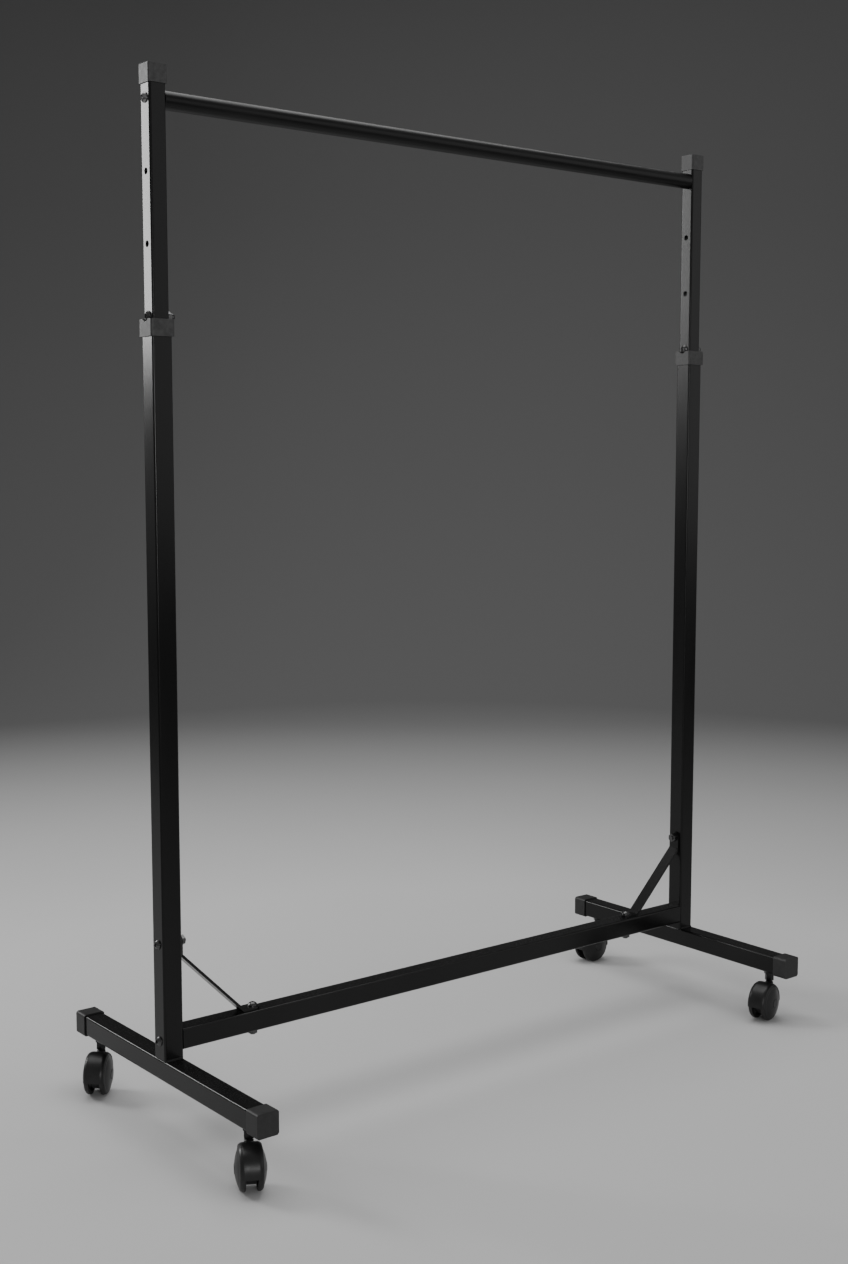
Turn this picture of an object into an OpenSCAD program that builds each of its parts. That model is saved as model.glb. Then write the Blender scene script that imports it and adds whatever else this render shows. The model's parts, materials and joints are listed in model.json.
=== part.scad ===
// Rolling clothes rack with a height-adjustable upper frame.
// X runs along the hang rail, Y along the feet and Z up. The origin is on the floor,
// midway between the uprights. Front is -Y and left is -X.

/* [Frame] */
// Distance between the centre lines of the two uprights
upright_span = 1050; // [700:10:1400]
// Length of a foot over its end caps
foot_length = 510; // [400:10:640]
// Length of a lower upright, from the top of the foot to its open end
lower_upright_length = 1022; // [800:1:1200]
// Length of an upper tube, most of it above the collar
upper_tube_length = 607; // [560:1:700]
// Height of the crossbar's underside above the top of the feet
crossbar_lift = 12; // [4:1:60]
// Distance of the hang rail's centre line below the open tops of the upper tubes
rail_drop = 42; // [30:1:80]

/* [Tubes] */
// Width of the square tube of the feet, lower uprights and crossbar
base_tube = 30; // [30:1:40]
// Width of the square upper tubes, which slide in the lower uprights
upper_tube_size = 25; // [20:0.5:25.5]
// Wall thickness of the square tubes
tube_wall = 1.5; // [1.2:0.1:2]
// Outer diameter of the hang rail
rail_d = 25; // [20:1:25]

/* [Height setting] */
// Distance between neighbouring height settings
setting_pitch = 95; // [60:1:100]
// Number of settings above the lowest one, which is the one shown
settings_above = 2; // [0:1:2]

/* [Braces] */
// Distance of each brace hole from the inner corner of upright and crossbar
brace_reach = 124; // [90:1:180]
// Width of the brace's flat bar
brace_width = 20; // [16:1:24]

/* [Casters] */
// Diameter of a caster wheel
wheel_d = 60; // [50:1:70]
// Distance from the swivel stem back to the axle
caster_trail = 19.5; // [18:0.5:22]
// Distance of the swivel stems from the outer end of a foot
stem_inset = 47; // [38:1:70]
// Direction in which the front left caster trails
front_left_angle = 243; // [0:1:360]
// Direction in which the back left caster trails
back_left_angle = 228; // [0:1:360]
// Direction in which the front right caster trails
front_right_angle = 194; // [0:1:360]
// Direction in which the back right caster trails
back_right_angle = 180; // [0:1:360]

/* [Hidden] */
$fn = 48;

// Signs of the sides along X and of the ends along Y
left = -1;
right = 1;
front = -1;
back = 1;

steel = "#1d1d1f";
fastener_black = "#232325";
moulded_plastic = "#2b2b2d";
caster_plastic = "#161617";
zinc = "#8c8f93";

// How far a cutting shape runs past the face that it cuts
over = 1;

// Square tubes
tube_corner = 3;
base_bore = base_tube - 2 * tube_wall;

// Moulded caps and collars
cap_wall = 2;
cap_end = 2.5;
cap_length = 26;
cap_corner = 4;
cap_edge = 1.2;
top_cap_wall = 1.6;
top_cap_size = upper_tube_size + 2 * top_cap_wall;
top_cap_height = 25;
top_cap_end = 2;
collar_wall = 3;
collar_plate = 5;
collar_play = 0.3;
collar_height = 23;

// M8 screws and nuts
screw_r = 4;
thread_r = 4.05;
clearance_r = 4.25;
head_r = 7;
head_h = 4.8;
head_rim = 1;
socket_flats = 5;
socket_depth = 2.4;
nut_flats = 13;
nut_h = 6.5;
washer_r = 7.4;
washer_h = 1.2;
cap_nut_hex = 6;
cap_nut_neck = 2;
cap_nut_dome_r = 5.5;
cap_nut_depth = 9;
nut_edge = 0.6;
shank_tail = 2;
notch_r = washer_r + 0.4;
plug_length = 18;
plug_play = 0.2;

// M10 caster stems
stem_r = 5;
stem_thread_r = 5.05;
stem_clearance_r = 5.3;
stem_nut_flats = 16;
weld_nut_h = 8;

// Casters: z values are heights above the floor
wheel_r = wheel_d / 2;
wheel_inner_face = 8;
wheel_rim_face = 16.3;
wheel_dome = 5.2;
dome_steps = 14;
wheel_shoulder = 5.5;
inner_shoulder = 1.5;
hub_r = 9;
web_depth = 5;
rim_depth = 5;
hub_cap_r = 7;
hub_cap_step = 0.6;
axle_r = 3;
axle_play = 0.05;
axle_half = 17;
axle_end_gap = 0.4;
hood_play = 0.8;
hood_wall = 2;
hood_r = wheel_r + hood_play + hood_wall;
hood_half = 15.3;
hood_corner = 8;
hood_crest_half = 9.2;
hood_low_angle = -6;
hood_sweep = 192;
web_half = 7;
web_back = 8;
web_low_r = 21;
swivel_boss_r = 6.5;
swivel_boss_edge = 1;
swivel_boss_length = 19;
swivel_boss_rise = 30.7;
swivel_boss_top = wheel_r + swivel_boss_rise;
swivel_r = 4;
swivel_play = 0.05;
swivel_depth = 18;
swivel_end_gap = 1;
swivel_gap = 2.3;
stem_hex_flats = 13;
stem_hex_h = 11;
lock_nut_h = 5;
lock_washer_h = 1;
lock_washer_r = 10;
stem_in_foot = 12;

// Heights above the floor
lock_nut_z = swivel_boss_top + swivel_gap + stem_hex_h;
foot_underside = lock_nut_z + lock_nut_h + lock_washer_h;
foot_top = foot_underside + base_tube;
crossbar_z = foot_top + crossbar_lift + base_tube / 2;
crossbar_top = crossbar_z + base_tube / 2;
collar_top = foot_top + lower_upright_length + collar_plate;
height_bolt_z = collar_top + screw_r;
rail_z = height_bolt_z + 3 * setting_pitch;
lowest_hole_z = height_bolt_z - settings_above * setting_pitch;
upper_tube_top = rail_z + rail_drop;
upper_tube_bottom = upper_tube_top - upper_tube_length;

// Places along X and Y
upright_x = upright_span / 2;
inner_face = upright_x - base_tube / 2;
outer_face = upright_x + base_tube / 2;
stem_y = foot_length / 2 - stem_inset;
foot_tube_length = foot_length - 2 * cap_end;

// Braces
brace_thickness = 4;
brace_foot = 19;
brace_bend = brace_reach - brace_foot;

// Weld beads
weld_leg = 3.5;
weld_hollow_r = 5.6;

// ---------- shared shapes ----------

module rounded_rectangle(width, height, r) {
    square([width, height - 2 * r], center = true);
    square([width - 2 * r, height], center = true);
    for (x = [-1, 1], y = [-1, 1])
        translate([x * (width / 2 - r), y * (height / 2 - r)]) circle(r = r);
}

// Square tube along +Z from the origin
module square_tube(size, length) {
    linear_extrude(length) difference() {
        rounded_rectangle(size, size, tube_corner);
        rounded_rectangle(size - 2 * tube_wall, size - 2 * tube_wall, tube_corner - tube_wall);
    }
}

// Block on z = 0 with round upright corners and a softened top edge
module soft_block(size, height, corner) {
    intersection() {
        linear_extrude(height) rounded_rectangle(size, size, corner);
        for (turn = [0, 90])
            rotate([90, 0, turn]) linear_extrude(size + 2 * over, center = true)
                rounded_rectangle(size, 2 * height, cap_edge);
    }
}

// Slip-over end cap on z = 0, closed at the top
module end_cap(inner, wall, height, end_wall, corner) {
    difference() {
        soft_block(inner + 2 * wall, height, corner);
        translate([0, 0, -over]) linear_extrude(height - end_wall + over)
            rounded_rectangle(inner, inner, tube_corner);
    }
}

// Button-head screw: the head's seat is on z = 0 and the shank hangs below it
module button_screw(shank) {
    dome = head_h - head_rim;
    dome_r = (head_r * head_r + dome * dome) / (2 * dome);
    difference() {
        union() {
            intersection() {
                translate([0, 0, head_h - dome_r]) sphere(r = dome_r);
                cylinder(r = head_r, h = head_h);
            }
            translate([0, 0, -shank]) cylinder(r = screw_r, h = shank + head_rim);
        }
        translate([0, 0, head_h - socket_depth])
            cylinder(d = socket_flats / cos(30), h = socket_depth + over, $fn = 6);
    }
}

// Hexagonal prism on z = 0 with its corners taken off at the top
module hex_body(height, flats) {
    corners = flats / cos(30);
    intersection() {
        cylinder(d = corners, h = height, $fn = 6);
        cylinder(r1 = corners / 2 + height - nut_edge, r2 = corners / 2 - nut_edge, h = height);
    }
}

module hex_nut(height, flats, r) {
    difference() {
        hex_body(height, flats);
        translate([0, 0, -over]) cylinder(r = r, h = height + 2 * over);
    }
}

module washer() {
    difference() {
        cylinder(r = washer_r, h = washer_h);
        translate([0, 0, -over]) cylinder(r = clearance_r, h = washer_h + 2 * over);
    }
}

// Domed cap nut on z = 0, open below
module cap_nut() {
    dome_z = cap_nut_hex + cap_nut_neck;
    difference() {
        union() {
            hex_body(cap_nut_hex, nut_flats);
            cylinder(r = cap_nut_dome_r, h = dome_z);
            intersection() {
                translate([0, 0, dome_z]) sphere(r = cap_nut_dome_r);
                cylinder(r = cap_nut_dome_r + over, h = dome_z + cap_nut_dome_r + over);
            }
        }
        translate([0, 0, -over]) cylinder(r = thread_r, h = cap_nut_depth + over);
    }
}

// Round hole along X, centred at height z
module cross_hole(z, r, length) {
    translate([0, 0, z]) rotate([0, 90, 0]) cylinder(r = r, h = length, center = true);
}

// Turns +Z to the outward X direction of a side
module outward(side) {
    rotate([0, side * 90, 0]) children();
}

// ---------- feet, uprights and crossbar ----------

module foot(side) {
    color(steel) difference() {
        translate([side * upright_x, foot_tube_length / 2, foot_underside + base_tube / 2])
            rotate([90, 0, 0]) square_tube(base_tube, foot_tube_length);
        for (end = [front, back])
            translate([side * upright_x, end * stem_y, foot_underside - over])
                cylinder(r = stem_clearance_r, h = base_tube / 2);
    }
}

module foot_cap(side, end) {
    color(moulded_plastic)
        translate([side * upright_x, end * (foot_length / 2 - cap_length), foot_underside + base_tube / 2])
            rotate([-end * 90, 0, 0]) end_cap(base_tube, cap_wall, cap_length, cap_end, cap_corner);
}

module lower_upright(side) {
    color(steel) translate([side * upright_x, 0, foot_top]) difference() {
        square_tube(base_tube, lower_upright_length);
        for (z = [crossbar_z, crossbar_top + brace_reach])
            cross_hole(z - foot_top, clearance_r, base_tube + 2 * over);
    }
}

module collar(side) {
    opening = upper_tube_size + 2 * collar_play;
    color(moulded_plastic) difference() {
        translate([side * upright_x, 0, collar_top - collar_height])
            end_cap(base_tube, collar_wall, collar_height, collar_plate, cap_corner);
        translate([side * upright_x, 0, collar_top - collar_plate - over])
            linear_extrude(collar_plate + 2 * over) rounded_rectangle(opening, opening, tube_corner);
        // seats for the height bolt's head, washer and nut
        translate([side * upright_x, 0, 0])
            cross_hole(height_bolt_z, notch_r, base_tube + 2 * collar_wall + 2 * over);
    }
}

module weld_bead() {
    rotate([90, 0, 90]) linear_extrude(base_tube - 2 * tube_corner, center = true) difference() {
        square(weld_leg);
        translate([weld_hollow_r, weld_hollow_r]) circle(r = weld_hollow_r);
    }
}

module upright_welds() {
    color(steel) for (side = [left, right], turn = [0, 180])
        translate([side * upright_x, 0, foot_top]) rotate([0, 0, turn])
            translate([0, base_tube / 2, 0]) weld_bead();
}

module crossbar() {
    color(steel) difference() {
        translate([-inner_face, 0, crossbar_z]) rotate([0, 90, 0])
            square_tube(base_tube, 2 * inner_face);
        for (side = [left, right])
            translate([side * (inner_face - brace_reach), 0, crossbar_z])
                cylinder(r = clearance_r, h = base_tube + 2 * over, center = true);
    }
}

module crossbar_end_plugs() {
    block = base_bore - 2 * plug_play;
    color(zinc) for (side = [left, right])
        translate([side * (inner_face - plug_length / 2), 0, crossbar_z]) rotate([0, 90, 0])
            difference() {
                linear_extrude(plug_length, center = true)
                    rounded_rectangle(block, block, tube_corner - tube_wall);
                cylinder(r = thread_r, h = plug_length + 2 * over, center = true);
            }
}

module crossbar_bolts() {
    color(fastener_black) for (side = [left, right])
        translate([side * outer_face, 0, crossbar_z]) outward(side)
            button_screw(base_tube + plug_length - shank_tail);
}

// ---------- braces ----------

// Side view of a brace: x away from the upright's face, y above the crossbar
module brace_outline() {
    middle = brace_thickness / 2;
    run = (brace_bend - middle) * sqrt(2);
    translate([0, brace_bend]) square([brace_thickness, brace_reach - brace_bend]);
    translate([brace_bend, 0]) square([brace_reach - brace_bend, brace_thickness]);
    translate([middle, brace_bend]) rotate(-45) translate([0, -middle]) square([run, brace_thickness]);
    for (at = [[middle, brace_bend], [brace_bend, middle]]) translate(at) circle(r = middle);
}

module brace(side) {
    color(steel) translate([side * inner_face, 0, crossbar_top]) mirror([side > 0 ? 1 : 0, 0, 0])
        difference() {
            union() {
                rotate([90, 0, 0]) linear_extrude(brace_width, center = true) brace_outline();
                translate([0, 0, brace_reach]) rotate([0, 90, 0])
                    cylinder(d = brace_width, h = brace_thickness);
                translate([brace_reach, 0, 0]) cylinder(d = brace_width, h = brace_thickness);
            }
            cross_hole(brace_reach, clearance_r, 4 * brace_thickness);
            translate([brace_reach, 0, -over])
                cylinder(r = clearance_r, h = brace_thickness + 2 * over);
        }
}

module brace_upright_bolts() {
    color(fastener_black) for (side = [left, right])
        translate([side * outer_face, 0, crossbar_top + brace_reach]) outward(side)
            button_screw(base_tube + brace_thickness + nut_h + shank_tail);
}

module brace_upright_nuts() {
    color(fastener_black) for (side = [left, right])
        translate([side * (inner_face - brace_thickness), 0, crossbar_top + brace_reach])
            outward(-side) hex_nut(nut_h, nut_flats, thread_r);
}

module at_crossbar_holes(z) {
    for (side = [left, right])
        translate([side * (inner_face - brace_reach), 0, z]) children();
}

module brace_crossbar_bolts() {
    color(fastener_black) at_crossbar_holes(crossbar_top + brace_thickness + washer_h)
        button_screw(washer_h + brace_thickness + base_tube + nut_h + shank_tail);
}

module brace_crossbar_washers() {
    color(fastener_black) at_crossbar_holes(crossbar_top + brace_thickness) washer();
}

module brace_crossbar_nuts() {
    color(fastener_black) at_crossbar_holes(crossbar_top - base_tube)
        mirror([0, 0, 1]) hex_nut(nut_h, nut_flats, thread_r);
}

// ---------- caster stems ----------

module at_stems() {
    for (side = [left, right], end = [front, back])
        translate([side * upright_x, end * stem_y, 0]) children();
}

module caster_stems() {
    pin_low = swivel_boss_top - swivel_depth + swivel_end_gap;
    hex_low = swivel_boss_top + swivel_gap;
    color(fastener_black) at_stems() {
        translate([0, 0, pin_low]) cylinder(r = swivel_r, h = hex_low + over - pin_low);
        translate([0, 0, hex_low]) hex_body(stem_hex_h, stem_hex_flats);
        translate([0, 0, hex_low]) cylinder(r = stem_r, h = foot_underside + stem_in_foot - hex_low);
    }
}

module caster_lock_nuts() {
    color(fastener_black) at_stems() translate([0, 0, lock_nut_z + lock_nut_h])
        mirror([0, 0, 1]) hex_nut(lock_nut_h, stem_nut_flats, stem_thread_r);
}

module caster_washers() {
    color(fastener_black) at_stems() translate([0, 0, lock_nut_z + lock_nut_h]) difference() {
        cylinder(r = lock_washer_r, h = lock_washer_h);
        translate([0, 0, -over]) cylinder(r = stem_clearance_r, h = lock_washer_h + 2 * over);
    }
}

module foot_weld_nuts() {
    color(zinc) at_stems() translate([0, 0, foot_underside + tube_wall])
        hex_nut(weld_nut_h, stem_nut_flats, stem_thread_r);
}

// ---------- upper frame ----------

module upper_tube(side) {
    color(steel) translate([side * upright_x, 0, upper_tube_bottom]) difference() {
        square_tube(upper_tube_size, upper_tube_length);
        for (z = [lowest_hole_z : setting_pitch : rail_z + over])
            cross_hole(z - upper_tube_bottom, clearance_r, upper_tube_size + 2 * over);
    }
}

module top_cap(side) {
    color(moulded_plastic)
        translate([side * upright_x, 0, upper_tube_top + top_cap_end - top_cap_height])
            end_cap(upper_tube_size, top_cap_wall, top_cap_height, top_cap_end, tube_corner);
}

module hang_rail() {
    reach = upright_x - upper_tube_size / 2;
    color(steel) translate([0, 0, rail_z]) rotate([0, 90, 0]) difference() {
        cylinder(d = rail_d, h = 2 * reach, center = true, $fn = 96);
        cylinder(r = rail_d / 2 - tube_wall, h = 2 * reach + 2 * over, center = true, $fn = 96);
    }
}

module rail_end_plugs() {
    reach = upright_x - upper_tube_size / 2 - plug_length / 2;
    color(zinc) for (side = [left, right])
        translate([side * reach, 0, rail_z]) rotate([0, 90, 0]) difference() {
            cylinder(r = rail_d / 2 - tube_wall - plug_play, h = plug_length, center = true);
            cylinder(r = thread_r, h = plug_length + 2 * over, center = true);
        }
}

module rail_screws() {
    color(fastener_black) for (side = [left, right])
        translate([side * (upright_x + upper_tube_size / 2), 0, rail_z]) outward(side)
            button_screw(upper_tube_size + plug_length - shank_tail);
}

module height_bolts() {
    shank = upper_tube_size + washer_h + cap_nut_depth - shank_tail / 2;
    color(fastener_black) for (side = [left, right])
        translate([side * upright_x - upper_tube_size / 2, 0, height_bolt_z]) outward(left)
            button_screw(shank);
}

module height_washers() {
    color(fastener_black) for (side = [left, right])
        translate([side * upright_x + upper_tube_size / 2, 0, height_bolt_z]) outward(right)
            washer();
}

module height_cap_nuts() {
    color(fastener_black) for (side = [left, right])
        translate([side * upright_x + upper_tube_size / 2 + washer_h, 0, height_bolt_z]) outward(right)
            cap_nut();
}

// ---------- casters ----------

// Moves a caster from its own frame to its corner. In its own frame the stem is on the
// Z axis, the axle is caster_trail out along +X and it runs along Y.
module at_caster(side, end, angle) {
    translate([side * upright_x, end * stem_y, 0]) rotate([0, 0, angle]) children();
}

module at_axle() {
    translate([caster_trail, 0, wheel_r]) rotate([-90, 0, 0]) children();
}

// Round-shouldered cross-section of the hood's shell, before the wheel wells thin it:
// x is the radius, y runs along the axle
module hood_section() {
    corner_x = hood_r - hood_corner;
    side_low = web_half + over;
    intersection() {
        union() {
            translate([corner_x, -hood_crest_half]) square([hood_corner, 2 * hood_crest_half]);
            for (y = [-1, 1]) translate([corner_x, y * hood_crest_half]) circle(r = hood_corner);
        }
        union() {
            translate([wheel_r, -hood_half]) square([hood_r - wheel_r, 2 * hood_half]);
            for (y = [-hood_half, side_low])
                translate([corner_x, y]) square([hood_corner, hood_half - side_low]);
        }
    }
}

// Room for one wheel, with play over its tread and shoulder
module wheel_well() {
    well_r = wheel_r + hood_play;
    rotate_extrude($fn = 96) polygon(concat(
        [[0, web_half], [well_r, web_half]],
        shoulder(wheel_r - wheel_shoulder, wheel_rim_face - wheel_shoulder,
            wheel_shoulder + hood_play, 0),
        [[0, wheel_rim_face + hood_play]]
    ));
}

module hood(side, end, angle) {
    color(caster_plastic) at_caster(side, end, angle) difference() {
        union() {
            at_axle() rotate([0, 0, -hood_low_angle - hood_sweep])
                rotate_extrude(angle = hood_sweep, $fn = 96) hood_section();
            at_axle() linear_extrude(2 * web_half, center = true) web_outline();
            swivel_boss();
        }
        at_axle() wheel_well();
        at_axle() mirror([0, 0, 1]) wheel_well();
        at_axle() cylinder(r = axle_r, h = 4 * web_half, center = true);
        translate([0, 0, swivel_boss_top - swivel_depth])
            cylinder(r = swivel_r + swivel_play, h = swivel_depth + over);
    }
}

// Web between the wheels, seen along the axle with y pointing down
module web_outline() {
    low_edge = web_low_r * cos(45);
    back_edge = -caster_trail - web_back;
    circle(r = web_low_r, $fn = 96);
    intersection() {
        circle(r = hood_r - hood_wall, $fn = 96);
        polygon([[web_low_r, 0], [web_low_r, -hood_r], [-caster_trail, -hood_r],
            [back_edge, -hood_r / 2], [back_edge, 0], [-low_edge, low_edge]]);
    }
}

module swivel_boss() {
    base = swivel_boss_top - swivel_boss_length;
    edge = swivel_boss_edge;
    translate([0, 0, base]) cylinder(r = swivel_boss_r, h = swivel_boss_top - edge - base);
    translate([0, 0, swivel_boss_top - edge])
        cylinder(r1 = swivel_boss_r, r2 = swivel_boss_r - edge, h = edge);
}

module axle(side, end, angle) {
    color(zinc) at_caster(side, end, angle) at_axle()
        cylinder(r = axle_r, h = 2 * axle_half, center = true);
}

// Points of a quarter circle round [r, y], which starts at an angle and turns to the left
function shoulder(r, y, size, from) =
    [for (a = [from : 10 : from + 90]) [r + size * cos(a), y + size * sin(a)]];

// Half section of a wheel: x is the radius, y the distance from the caster's middle
module wheel_section() {
    bore_end = axle_half + axle_end_gap;
    rim_r = wheel_r - wheel_shoulder;
    dome_r = (rim_r * rim_r + wheel_dome * wheel_dome) / (2 * wheel_dome);
    dome_turn = asin(rim_r / dome_r);
    cap_turn = asin(hub_cap_r / dome_r);
    top = wheel_rim_face + wheel_dome;
    polygon(concat(
        [[0, bore_end], [axle_r + axle_play, bore_end], [axle_r + axle_play, wheel_inner_face],
            [hub_r, wheel_inner_face], [hub_r, wheel_inner_face + web_depth],
            [wheel_r - rim_depth, wheel_inner_face + web_depth], [wheel_r - rim_depth, wheel_inner_face]],
        shoulder(wheel_r - inner_shoulder, wheel_inner_face + inner_shoulder, inner_shoulder, -90),
        shoulder(rim_r, wheel_rim_face - wheel_shoulder, wheel_shoulder, 0),
        [for (i = [1 : dome_steps - 1])
            let (turn = dome_turn + (cap_turn - dome_turn) * i / dome_steps)
                [dome_r * sin(turn), top - dome_r * (1 - cos(turn))]],
        [[hub_cap_r + hub_cap_step, top - dome_r * (1 - cos(cap_turn)) - hub_cap_step],
            [hub_cap_r, top - hub_cap_step], [hub_cap_r - hub_cap_step, top], [0, top]]
    ));
}

module wheel(side, end, angle, hand) {
    color(caster_plastic) at_caster(side, end, angle) at_axle() mirror([0, 0, hand > 0 ? 0 : 1])
        rotate_extrude($fn = 96) wheel_section();
}

// ---------- nodes ----------

foot(left);  // left_foot
foot(right);  // right_foot
foot_cap(left, front);  // front_left_foot_cap
foot_cap(left, back);  // back_left_foot_cap
foot_cap(right, front);  // front_right_foot_cap
foot_cap(right, back);  // back_right_foot_cap
lower_upright(left);  // left_lower_upright
lower_upright(right);  // right_lower_upright
upright_welds();
collar(left);  // left_collar
collar(right);  // right_collar
crossbar();
crossbar_end_plugs();
crossbar_bolts();
brace(left);  // left_brace
brace(right);  // right_brace
brace_upright_bolts();
brace_upright_nuts();
brace_crossbar_bolts();
brace_crossbar_washers();
brace_crossbar_nuts();
caster_stems();
caster_lock_nuts();
caster_washers();
foot_weld_nuts();
upper_tube(left);  // left_upper_tube
upper_tube(right);  // right_upper_tube
top_cap(left);  // left_top_cap
top_cap(right);  // right_top_cap
hang_rail();
rail_end_plugs();
rail_screws();
height_bolts();
height_washers();
height_cap_nuts();
hood(left, front, front_left_angle);  // front_left_hood
axle(left, front, front_left_angle);  // front_left_axle
wheel(left, front, front_left_angle, 1);  // front_left_wheel_a
wheel(left, front, front_left_angle, -1);  // front_left_wheel_b
hood(left, back, back_left_angle);  // back_left_hood
axle(left, back, back_left_angle);  // back_left_axle
wheel(left, back, back_left_angle, 1);  // back_left_wheel_a
wheel(left, back, back_left_angle, -1);  // back_left_wheel_b
hood(right, front, front_right_angle);  // front_right_hood
axle(right, front, front_right_angle);  // front_right_axle
wheel(right, front, front_right_angle, 1);  // front_right_wheel_a
wheel(right, front, front_right_angle, -1);  // front_right_wheel_b
hood(right, back, back_right_angle);  // back_right_hood
axle(right, back, back_right_angle);  // back_right_axle
wheel(right, back, back_right_angle, 1);  // back_right_wheel_a
wheel(right, back, back_right_angle, -1);  // back_right_wheel_b
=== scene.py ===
"""Rolling clothes rack: the looks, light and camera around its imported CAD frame."""
import json
import math

import bmesh
import bpy
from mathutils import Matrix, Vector


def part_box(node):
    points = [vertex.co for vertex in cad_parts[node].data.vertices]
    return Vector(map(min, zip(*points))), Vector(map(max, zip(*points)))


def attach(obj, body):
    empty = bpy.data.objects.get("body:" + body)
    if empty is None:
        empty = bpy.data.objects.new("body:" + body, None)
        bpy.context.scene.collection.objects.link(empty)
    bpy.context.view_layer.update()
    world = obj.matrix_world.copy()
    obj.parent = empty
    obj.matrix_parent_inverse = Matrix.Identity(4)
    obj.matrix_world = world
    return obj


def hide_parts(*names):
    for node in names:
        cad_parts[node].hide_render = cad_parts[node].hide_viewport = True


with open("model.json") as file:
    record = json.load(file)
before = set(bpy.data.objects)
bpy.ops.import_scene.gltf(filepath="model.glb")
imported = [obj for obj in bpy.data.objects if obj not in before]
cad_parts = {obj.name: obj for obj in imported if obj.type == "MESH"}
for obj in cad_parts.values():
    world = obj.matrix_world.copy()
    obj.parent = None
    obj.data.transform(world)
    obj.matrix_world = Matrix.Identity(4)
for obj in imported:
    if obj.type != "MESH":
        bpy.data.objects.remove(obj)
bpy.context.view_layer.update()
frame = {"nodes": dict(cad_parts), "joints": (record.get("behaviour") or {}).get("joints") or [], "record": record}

MM = 0.001
NODES = frame["nodes"]
SLOT_OF = {s["node"]: s["material_slot"] for s in frame["record"]["subparts"]}
JOINTS = {j["name"]: j for j in frame["joints"]}
CASTERS = ("front_left", "back_left", "front_right", "back_right")


# ---------- materials ----------

# roughness from the smoothest to the roughest patch of the coat
COAT_GLOSS = (0.19, 0.26)
RAIL_GLOSS = (0.32, 0.40)
# brightness of a variant against its material's own greys: painted shade darkens the low foot caps and caster
# stems, painted light brightens the high top caps and rail screws
FOOT_CAP_PAINTED_SHADE = 0.32
TOP_CAP_PAINTED_LIGHT = 1.1
STEM_PAINTED_SHADE = 0.3
RAIL_SCREW_PAINTED_LIGHT = 3.2
# depth below a wheel's running surface over which its tread wear fades in
TREAD_FADE = (2.2 * MM, 0.3 * MM)


class Shader:
    """A material under construction: a Principled BSDF and the nodes that feed it."""

    def __init__(self, name, metallic=0.0, specular=0.5):
        self.material = bpy.data.materials.new(name)
        self.material.use_nodes = True
        self.tree = self.material.node_tree
        self.bsdf = self.tree.nodes["Principled BSDF"]
        self.bsdf.inputs["Metallic"].default_value = metallic
        self.bsdf.inputs["Specular IOR Level"].default_value = specular
        self.place = self.node("ShaderNodeTexCoord").outputs["Object"]

    def node(self, kind, **settings):
        made = self.tree.nodes.new(kind)
        for name, value in settings.items():
            setattr(made, name, value)
        return made

    def feed(self, target, source):
        """Links source to the target socket if it is a socket, and sets it if it is a value."""
        if isinstance(source, bpy.types.NodeSocket):
            self.tree.links.new(source, target)
        else:
            target.default_value = source

    def noise(self, scale, detail=2.0, roughness=0.5, stretch=None):
        made = self.node("ShaderNodeTexNoise")
        vector = self.place
        if stretch:
            mapping = self.node("ShaderNodeMapping")
            mapping.inputs["Scale"].default_value = stretch
            self.feed(mapping.inputs["Vector"], vector)
            vector = mapping.outputs["Vector"]
        self.feed(made.inputs["Vector"], vector)
        made.inputs["Scale"].default_value = scale
        made.inputs["Detail"].default_value = detail
        made.inputs["Roughness"].default_value = roughness
        return made.outputs["Fac"]

    def voronoi(self, scale):
        made = self.node("ShaderNodeTexVoronoi", feature="SMOOTH_F1")
        self.feed(made.inputs["Vector"], self.place)
        made.inputs["Scale"].default_value = scale
        return made.outputs["Distance"]

    def span(self, source, low, high, to_low=0.0, to_high=1.0):
        """Maps low..high of source to to_low..to_high, clamped."""
        made = self.node("ShaderNodeMapRange", clamp=True)
        self.feed(made.inputs["Value"], source)
        limits = {"From Min": low, "From Max": high, "To Min": to_low, "To Max": to_high}
        for name, value in limits.items():
            made.inputs[name].default_value = value
        return made.outputs["Result"]

    def math(self, operation, a, b=0.0):
        made = self.node("ShaderNodeMath", operation=operation)
        self.feed(made.inputs[0], a)
        self.feed(made.inputs[1], b)
        return made.outputs[0]

    def blend(self, amount, dark, light):
        """A colour between dark and light, which are colours or colour sockets."""
        made = self.node("ShaderNodeMix", data_type="RGBA")
        self.feed(made.inputs["Factor"], amount)
        self.feed(made.inputs["A"], dark)
        self.feed(made.inputs["B"], light)
        return made.outputs["Result"]

    def bump(self, height, depth, strength=1.0, under=None):
        """Relief that is depth metres deep, laid over the relief in under."""
        made = self.node("ShaderNodeBump")
        made.inputs["Strength"].default_value = strength
        made.inputs["Distance"].default_value = depth
        self.feed(made.inputs["Height"], height)
        if under:
            self.feed(made.inputs["Normal"], under)
        return made.outputs["Normal"]

    def edges(self, radius):
        """1 on edges that a fingertip would find, 0 on flat faces."""
        rounded = self.node("ShaderNodeBevel", samples=4)
        rounded.inputs["Radius"].default_value = radius
        geometry = self.node("ShaderNodeNewGeometry")
        dot = self.node("ShaderNodeVectorMath", operation="DOT_PRODUCT")
        self.feed(dot.inputs[0], rounded.outputs["Normal"])
        self.feed(dot.inputs[1], geometry.outputs["Normal"])
        return self.span(dot.outputs["Value"], 0.995, 0.9)

    def upward(self):
        """1 where the surface faces up, 0 where it stands or faces down."""
        geometry = self.node("ShaderNodeNewGeometry")
        split = self.node("ShaderNodeSeparateXYZ")
        self.feed(split.inputs[0], geometry.outputs["Normal"])
        return self.span(split.outputs["Z"], 0.6, 1.0)

    def finish(self, colour, roughness, normal):
        self.feed(self.bsdf.inputs["Base Color"], colour)
        self.feed(self.bsdf.inputs["Roughness"], roughness)
        self.feed(self.bsdf.inputs["Normal"], normal)
        return self.material


def grey(value, warmth=0.0):
    return (value * (1 + warmth), value, value * (1 - warmth), 1.0)


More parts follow.
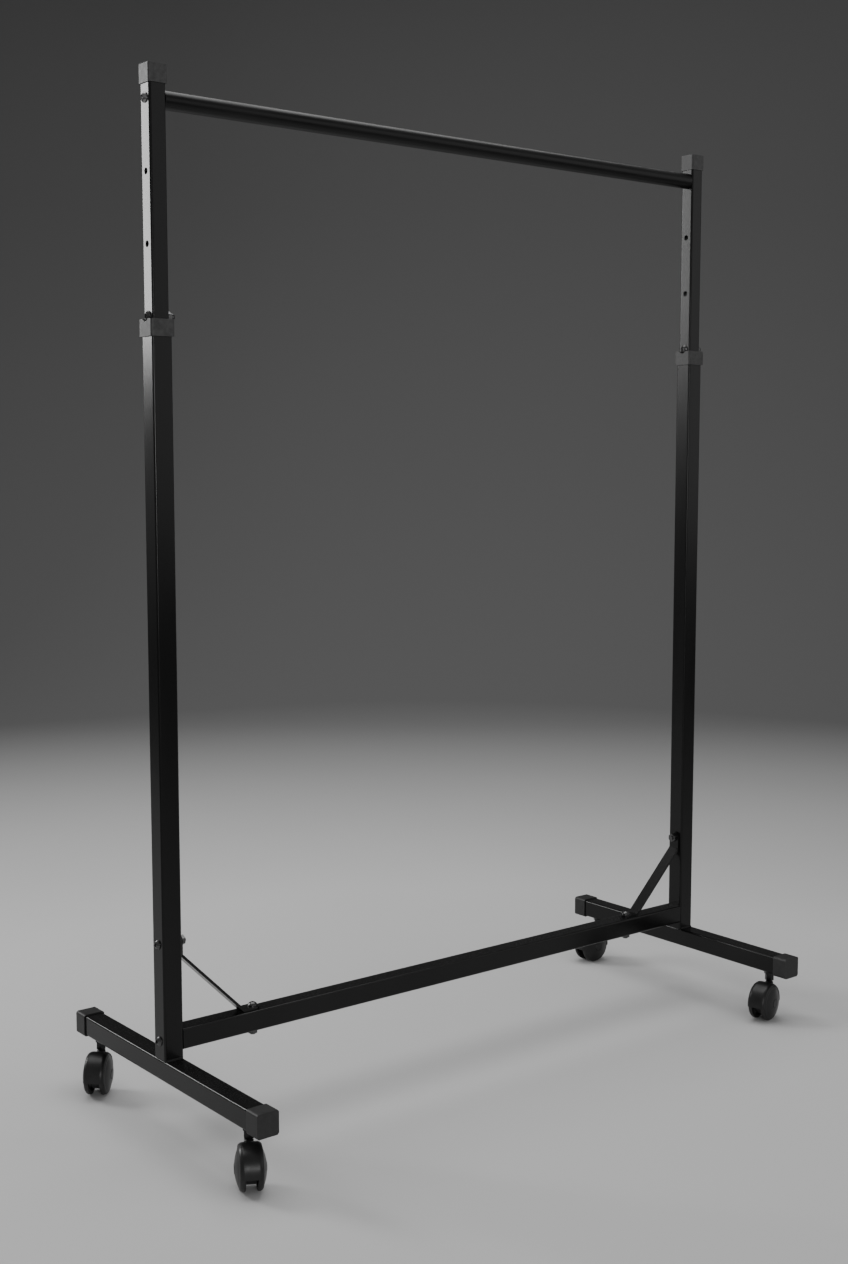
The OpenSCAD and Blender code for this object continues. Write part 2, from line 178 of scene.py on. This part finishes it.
def powder_coat(name="powder_coated_steel", gloss=COAT_GLOSS):
    """Semi-gloss black powder coat: orange peel, faint wipe marks, dust on top, rubbed edges."""
    coat_dark, coat_light = grey(0.0042), grey(0.0075)
    dust_grey, rubbed_grey = grey(0.06, 0.02), grey(0.045)
    s = Shader(name, specular=0.27)
    wipes = s.noise(9, detail=4, stretch=(1.0, 1.0, 0.25))
    edge = s.edges(1.2 * MM)
    worn = s.math("MULTIPLY", edge, s.span(s.noise(160, detail=5), 0.47, 0.62))
    dust = s.math("MULTIPLY", s.upward(), s.span(s.noise(420, detail=6, roughness=0.7), 0.52, 0.8))
    colour = s.blend(s.span(wipes, 0.3, 0.7), coat_dark, coat_light)
    colour = s.blend(s.math("MULTIPLY", dust, 0.3), colour, dust_grey)
    colour = s.blend(s.math("MULTIPLY", worn, 0.4), colour, rubbed_grey)
    rough = s.span(wipes, 0.3, 0.7, *gloss)
    rough = s.math("ADD", rough, s.math("MULTIPLY", dust, 0.2))
    rough = s.math("ADD", rough, s.math("MULTIPLY", edge, 0.3))
    peel = s.bump(s.noise(620, detail=1.5), 0.05 * MM, 0.55)
    grain = s.bump(s.noise(2600, detail=2), 0.012 * MM, 0.5, peel)
    return s.finish(colour, rough, grain)


def moulded_plastic(name="moulded_plastic", tone=1.0):
    """Matte moulded plastic with a spark-eroded texture, smoother where edges have been handled."""
    plastic_dark, plastic_light = grey(0.028 * tone), grey(0.062 * tone)
    handled_grey, speck_grey = grey(0.08 * tone), grey(0.11 * tone)
    s = Shader(name)
    cloud = s.noise(150, detail=5, roughness=0.65)
    handled = s.edges(1.1 * MM)
    colour = s.blend(s.span(cloud, 0.35, 0.65), plastic_dark, plastic_light)
    colour = s.blend(s.math("MULTIPLY", handled, 0.4), colour, handled_grey)
    speck = s.span(s.noise(1100, detail=3, roughness=0.7), 0.58, 0.70)
    colour = s.blend(s.math("MULTIPLY", speck, 0.4), colour, speck_grey)
    rough = s.span(cloud, 0.3, 0.7, 0.46, 0.56)
    rough = s.math("SUBTRACT", rough, s.math("MULTIPLY", handled, 0.08))
    pits = s.bump(s.voronoi(1500), 0.06 * MM, 0.6)
    grain = s.bump(s.noise(3600, detail=3, roughness=0.65), 0.03 * MM, 0.6, pits)
    return s.finish(colour, rough, grain)


def satin_plastic(name, axle=None):
    """Satin moulded nylon. With a wheel's axle, as (point, direction), its tread is scuffed and dusty."""
    nylon_dark, nylon_light, floor_dust = grey(0.0095), grey(0.014), grey(0.075, 0.04)
    s = Shader(name, specular=0.36)
    flow = s.noise(60, detail=3)
    scratch = s.span(s.noise(240, detail=2, stretch=(1.0, 1.0, 6.0)), 0.60, 0.66)
    colour = s.blend(s.span(flow, 0.35, 0.65), nylon_dark, nylon_light)
    rough = s.span(flow, 0.35, 0.65, 0.33, 0.40)
    rough = s.math("ADD", rough, s.math("MULTIPLY", scratch, 0.08))
    if axle:
        tread = tread_mask(s, *axle)
        scuff = s.span(s.noise(330, detail=6, roughness=0.75), 0.42, 0.68)
        dusty = s.math("MULTIPLY", tread, scuff)
        colour = s.blend(s.math("MULTIPLY", dusty, 0.4), colour, floor_dust)
        rough = s.math("ADD", rough, s.math("MULTIPLY", dusty, 0.3))
    soft = s.bump(s.noise(300, detail=1), 0.03 * MM, 0.3)
    grain = s.bump(s.noise(4200, detail=2), 0.008 * MM, 0.4, soft)
    return s.finish(colour, rough, grain)


def tread_mask(s, point, direction):
    """1 on the running surface of a wheel that turns about the line through point, 0 near its axle.

    The wheels stand on the floor, so the height of point is also the radius of the tread.
    """
    away = s.node("ShaderNodeVectorMath", operation="SUBTRACT")
    s.feed(away.inputs[0], s.place)
    away.inputs[1].default_value = point
    turned = s.node("ShaderNodeVectorMath", operation="CROSS_PRODUCT")
    s.feed(turned.inputs[0], away.outputs[0])
    turned.inputs[1].default_value = direction
    radius = s.node("ShaderNodeVectorMath", operation="LENGTH")
    s.feed(radius.inputs[0], turned.outputs[0])
    tread_r = point[2]
    fade_start, fade_end = TREAD_FADE
    return s.span(radius.outputs["Value"], tread_r - fade_start, tread_r - fade_end)


def black_fastener(name="black_fastener", tone=1.0):
    """Black-plated steel: a tight, slightly uneven gloss with brighter corners."""
    plate_dark, plate_light, corner_grey = grey(0.075 * tone), grey(0.12 * tone), grey(0.25 * tone)
    s = Shader(name, metallic=0.9)
    mottle = s.noise(700, detail=4)
    corner = s.edges(0.5 * MM)
    colour = s.blend(s.span(mottle, 0.3, 0.7), plate_dark, plate_light)
    colour = s.blend(s.math("MULTIPLY", corner, 0.5), colour, corner_grey)
    rough = s.span(mottle, 0.3, 0.7, 0.2, 0.3)
    turned = s.bump(s.noise(3000, detail=2), 0.015 * MM, 0.5)
    return s.finish(colour, rough, turned)


def zinc_plate():
    """Bright zinc-plated steel with a faint spangle."""
    zinc_dark, zinc_light = grey(0.42, -0.02), grey(0.60, -0.01)
    s = Shader("zinc_plated_steel", metallic=1.0)
    spangle = s.voronoi(500)
    colour = s.blend(s.span(spangle, 0.1, 0.7), zinc_dark, zinc_light)
    rough = s.span(s.noise(500, detail=3), 0.3, 0.7, 0.28, 0.42)
    brushed = s.bump(s.noise(900, detail=2, stretch=(1.0, 1.0, 8.0)), 0.01 * MM, 0.4)
    return s.finish(colour, rough, brushed)


def dress_nodes():
    """Gives every CAD node the material of its slot or a variant of it; the variants are painted shade on the low
    foot caps and caster stems and painted light on the high top caps and rail screws.

    Each caster's two wheels get a material of their own, with wear on their tread.
    Returns the slots' shared materials.
    """
    shared = {
        "powder_coated_steel": powder_coat(),
        "moulded_plastic": moulded_plastic(),
        "caster_plastic": satin_plastic("caster_plastic"),
        "black_fastener": black_fastener(),
        "zinc_plated_steel": zinc_plate(),
    }
    for name, node in NODES.items():
        paint(node, shared[SLOT_OF[name]])
    paint(NODES["hang_rail"], powder_coat("rail_powder_coat", gloss=RAIL_GLOSS))
    # painted shade: the foot caps get a darker copy of the plastic because they sit low, where the light falls off
    shaded_foot_cap_plastic = moulded_plastic("shaded_foot_cap_plastic", tone=FOOT_CAP_PAINTED_SHADE)
    for corner in CASTERS:
        paint(NODES[f"{corner}_foot_cap"], shaded_foot_cap_plastic)
    # painted light: the top caps get a lighter copy of the plastic because they sit high, near the soft box
    lit_top_cap_plastic = moulded_plastic("lit_top_cap_plastic", tone=TOP_CAP_PAINTED_LIGHT)
    for side in ("left", "right"):
        paint(NODES[f"{side}_top_cap"], lit_top_cap_plastic)
    # painted shade: the caster stems, lock nuts and washers get a darker copy of the fastener finish because they
    # sit low, where the light falls off
    shaded_stem_black = black_fastener("shaded_stem_black", tone=STEM_PAINTED_SHADE)
    for name in ("caster_stems", "caster_lock_nuts", "caster_washers"):
        paint(NODES[name], shaded_stem_black)
    # painted light: the rail screws get a much brighter copy of the fastener finish because they sit high, near
    # the soft box
    paint(NODES["rail_screws"], black_fastener("rail_screw_painted_light", tone=RAIL_SCREW_PAINTED_LIGHT))
    for caster in CASTERS:
        spin = JOINTS[f"{caster}_wheel_a_spin"]
        worn = satin_plastic(f"{caster}_wheel_plastic", (spin["pos_m"], spin["axis"]))
        for hand in "ab":
            paint(NODES[f"{caster}_wheel_{hand}"], worn)
    return shared


def paint(piece, material):
    piece.data.materials.clear()
    piece.data.materials.append(material)


# ---------- weld beads ----------

WELD_LEG = 3.6 * MM
WELD_SHARE = 0.86
RIPPLES, RIPPLE_PHASE = 9, 0.6
STEPS_ALONG, STEPS_ROUND = 144, 8
# each pair adds up to a full sized bead: size at the ends and swell, trough and ripple
END_SIZE, MIDDLE_SWELL = 0.55, 0.45
TROUGH_SIZE, RIPPLE_SIZE = 0.90, 0.10
END_ROUNDING = 8
# the bead's section: its reach, its outward belly and how full its corner is
SECTION_REACH, SECTION_BELLY, SECTION_POWER = 0.80, 0.12, 1.3


def weld_bead(name, centre, length, outward, material):
    """A rippled fillet between a foot's top and one upright face, which looks along outward."""
    mesh = bmesh.new()
    rows = []
    for i in range(STEPS_ALONG + 1):
        along = i / STEPS_ALONG
        x = centre.x + (along - 0.5) * length
        wave = abs(math.sin(math.pi * RIPPLES * along + RIPPLE_PHASE))
        taper = math.sqrt(max(0.0, 1 - abs(2 * along - 1) ** END_ROUNDING))
        size = WELD_LEG * (END_SIZE + MIDDLE_SWELL * taper) * (TROUGH_SIZE + RIPPLE_SIZE * wave)
        row = []
        for k in range(STEPS_ROUND + 1):
            turn = math.pi / 2 * k / STEPS_ROUND
            bulge = size * (SECTION_REACH + SECTION_BELLY * math.sin(2 * turn))
            y = centre.y + outward * bulge * math.cos(turn) ** SECTION_POWER
            z = centre.z + bulge * math.sin(turn) ** SECTION_POWER
            row.append(mesh.verts.new((x, y, z)))
        row.append(mesh.verts.new((x, centre.y, centre.z)))
        rows.append(row)
    for near, far in zip(rows, rows[1:]):
        count = len(near)
        for k in range(count):
            mesh.faces.new((near[k], near[(k + 1) % count], far[(k + 1) % count], far[k]))
    mesh.faces.new(rows[0])
    mesh.faces.new(reversed(rows[-1]))
    bmesh.ops.recalc_face_normals(mesh, faces=mesh.faces)
    data = bpy.data.meshes.new(name)
    mesh.to_mesh(data)
    mesh.free()
    data.shade_smooth()
    bead = bpy.data.objects.new(name, data)
    bpy.context.scene.collection.objects.link(bead)
    paint(bead, material)
    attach(bead, "base")
    return bead


def weld_beads(material):
    """Beads along the front and back edges of both uprights, in place of the plain CAD ones."""
    made = []
    for side in ("left", "right"):
        low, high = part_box(f"{side}_lower_upright")
        for edge, y, outward in (("front", low.y, -1), ("back", high.y, 1)):
            centre = Vector(((low.x + high.x) / 2, y, low.z))
            length = WELD_SHARE * (high.x - low.x)
            made.append(weld_bead(f"{side}_{edge}_weld", centre, length, outward, material))
    for bead in made:
        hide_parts("upright_welds")


# ---------- studio ----------

FLOOR_HALF = 9.0
WALL_HEIGHT = 7.0
BEND_START, BEND_RADIUS, BEND_STEPS = 3.2, 2.2, 24
# radii of the painted pool of light: the floor is pale within the first and painted dark grey beyond the second
LIGHT_POOL_RADIUS = 1.0
LIGHT_FALLOFF_RADIUS = 3.6
SURROUND_GREY, SURROUND_STRENGTH = 0.30, 0.8

# name: (place, target, width, height, watts)
SOFT_LIGHTS = {
    "left_soft_box": ((-1.88, 2.95, 2.00), (-0.5, 0.0, 2.00), 1.0, 1.4, 60),
    "overhead": ((0.4, 0.9, 4.4), (0.0, 0.0, 0.8), 4.4, 3.4, 112),
    "front_fill": ((2.6, -3.2, 1.9), (0.0, 0.0, 1.9), 3.6, 2.6, 18),
    "camera_side": ((-1.85, -3.05, 1.05), (-0.4, -0.2, 0.3), 1.2, 0.7, 26),
}


def studio_sweep():
    """A floor that curves up into a backdrop, with a painted pool of light: pale under the rack, painted dark grey
    further out.

    It stands square to the camera's view.
    """
    outline = [(-FLOOR_HALF, 0.0), (BEND_START, 0.0)]
    for i in range(1, BEND_STEPS + 1):
        turn = math.pi / 2 * i / BEND_STEPS
        depth = BEND_START + BEND_RADIUS * math.sin(turn)
        outline.append((depth, BEND_RADIUS * (1 - math.cos(turn))))
    outline.append((BEND_START + BEND_RADIUS, WALL_HEIGHT))
    mesh = bmesh.new()
    rows = []
    for depth, height in outline:
        rows.append([mesh.verts.new((side * FLOOR_HALF, depth, height)) for side in (-1, 1)])
    for near, far in zip(rows, rows[1:]):
        mesh.faces.new((near[0], near[1], far[1], far[0]))
    data = bpy.data.meshes.new("studio_sweep")
    mesh.to_mesh(data)
    mesh.free()
    data.shade_smooth()
    sweep = bpy.data.objects.new("studio_sweep", data)
    bpy.context.scene.collection.objects.link(sweep)
    sweep.rotation_euler.z = -CAMERA_YAW
    paper = Shader("studio_paper", specular=0.25)
    away = paper.node("ShaderNodeVectorMath", operation="LENGTH")
    paper.feed(away.inputs[0], paper.place)
    pale = paper.blend(paper.noise(1.3, detail=3), grey(0.60), grey(0.65))
    # painted pool of light: pale paper near the rack, painted darker grey further out and up the backdrop
    painted_falloff = paper.span(away.outputs["Value"], LIGHT_POOL_RADIUS, LIGHT_FALLOFF_RADIUS)
    tone = paper.blend(painted_falloff, pale, grey(0.17))
    paint(sweep, paper.finish(tone, 0.8, paper.bump(paper.noise(500), 0.05 * MM, 0.2)))


def soft_light(name, place, target, width, height, power):
    data = bpy.data.lights.new(name, "AREA")
    data.shape = "RECTANGLE"
    data.size, data.size_y = width, height
    data.energy = power
    light = bpy.data.objects.new(name, data)
    light.location = place
    light.rotation_euler = (Vector(target) - Vector(place)).to_track_quat("-Z", "Y").to_euler()
    bpy.context.scene.collection.objects.link(light)


def lighting():
    """A soft box high on the left and behind, a broad overhead, two weak fills and a grey surround."""
    for name, settings in SOFT_LIGHTS.items():
        soft_light(name, *settings)
    world = bpy.data.worlds.new("surround")
    world.use_nodes = True
    backdrop = world.node_tree.nodes["Background"]
    backdrop.inputs["Color"].default_value = grey(SURROUND_GREY)
    backdrop.inputs["Strength"].default_value = SURROUND_STRENGTH
    bpy.context.scene.world = world


CAMERA_PLACE = (-1.622, -1.962, 0.948)
CAMERA_YAW = math.radians(38.42)
CAMERA_DIP = math.radians(6.02)
CAMERA_SENSOR = 36.0
CAMERA_LENS = 46.27


def camera():
    data = bpy.data.cameras.new("camera")
    data.sensor_width = CAMERA_SENSOR
    data.lens = CAMERA_LENS
    data.clip_start = 0.01
    data.clip_end = 100.0
    view = bpy.data.objects.new("camera", data)
    view.location = CAMERA_PLACE
    view.rotation_euler = (math.pi / 2 - CAMERA_DIP, 0.0, -CAMERA_YAW)
    bpy.context.scene.collection.objects.link(view)
    bpy.context.scene.camera = view


camera()
finishes = dress_nodes()
weld_beads(finishes["powder_coated_steel"])
studio_sweep()
lighting()
